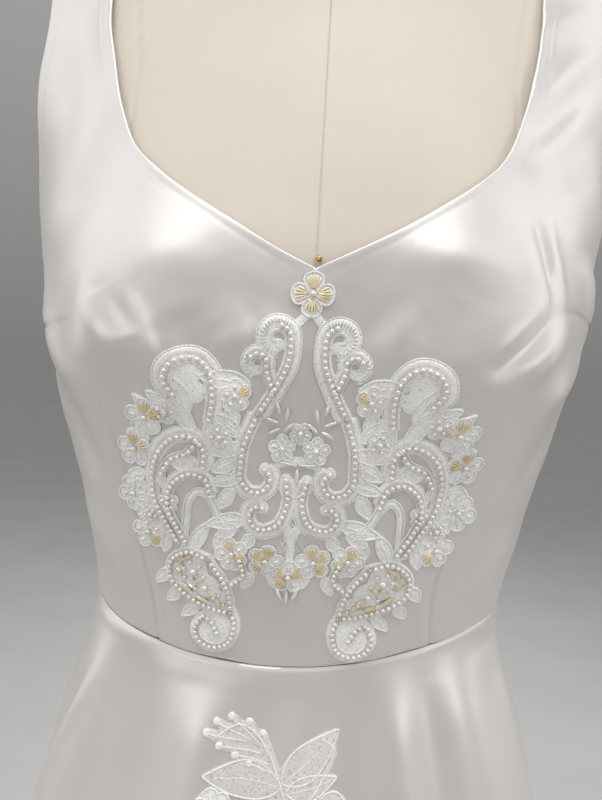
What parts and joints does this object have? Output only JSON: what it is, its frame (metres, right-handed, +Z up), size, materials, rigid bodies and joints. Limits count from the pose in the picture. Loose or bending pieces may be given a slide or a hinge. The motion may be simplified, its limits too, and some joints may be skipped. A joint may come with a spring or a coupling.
{
  "type": "wedding dress on a dress form",
  "caption": "Sleeveless satin wedding dress with a beaded lace bodice and a floor-length skirt, on a limbless dress form with a round stand.",
  "frame": {"origin": "on the floor under the middle of the stand's base", "axes": "+Z up along the pole, the dress faces -Y, +X to the viewer's right"},
  "size_m": [0.8404, 0.7912, 1.5382],
  "materials": {
    "satin": "ivory satin with a soft sheen",
    "lace": "white corded lace with beads",
    "muslin": "plain unbleached muslin",
    "form_plate": "muslin over board",
    "pin_brass": "polished brass",
    "zip_tape": "woven tape",
    "zip_metal": "plated zip metal",
    "stand_metal": "black powder coat",
    "pearl": "pearl beads",
    "gold_bead": "gold-lined bugle beads",
    "silver_bead": "silver-lined bugle beads and sequins",
    "thread": "sewing thread"
  },
  "bodies": {
    "dress": {"form_torso": "muslin", "form_neck_cap": "form_plate", "form_arm_plate_right": "form_plate", "form_arm_plate_left": "form_plate", "form_pin": "pin_brass", "stand_flange": "stand_metal", "stand_pole": "stand_metal", "stand_base": "stand_metal", "bodice_front": "satin", "bodice_back_right": "satin", "bodice_back_left": "satin", "skirt_front": "satin", "skirt_back_right": "satin", "skirt_back_left": "satin", "bodice_lace": "lace", "skirt_lace": "lace", "zip_tape": "zip_tape", "zip_slider": "zip_metal"},
    "pull": {"zip_pull": "zip_metal"}
  },
  "joints": [
    {"name": "zip_pull_hinge", "type": "hinge", "parent": "dress", "child": "pull", "pos_m": [0, 0.10784, 1.33367], "axis": [1, 0, 0], "range_deg": [0, 150]}
  ]
}
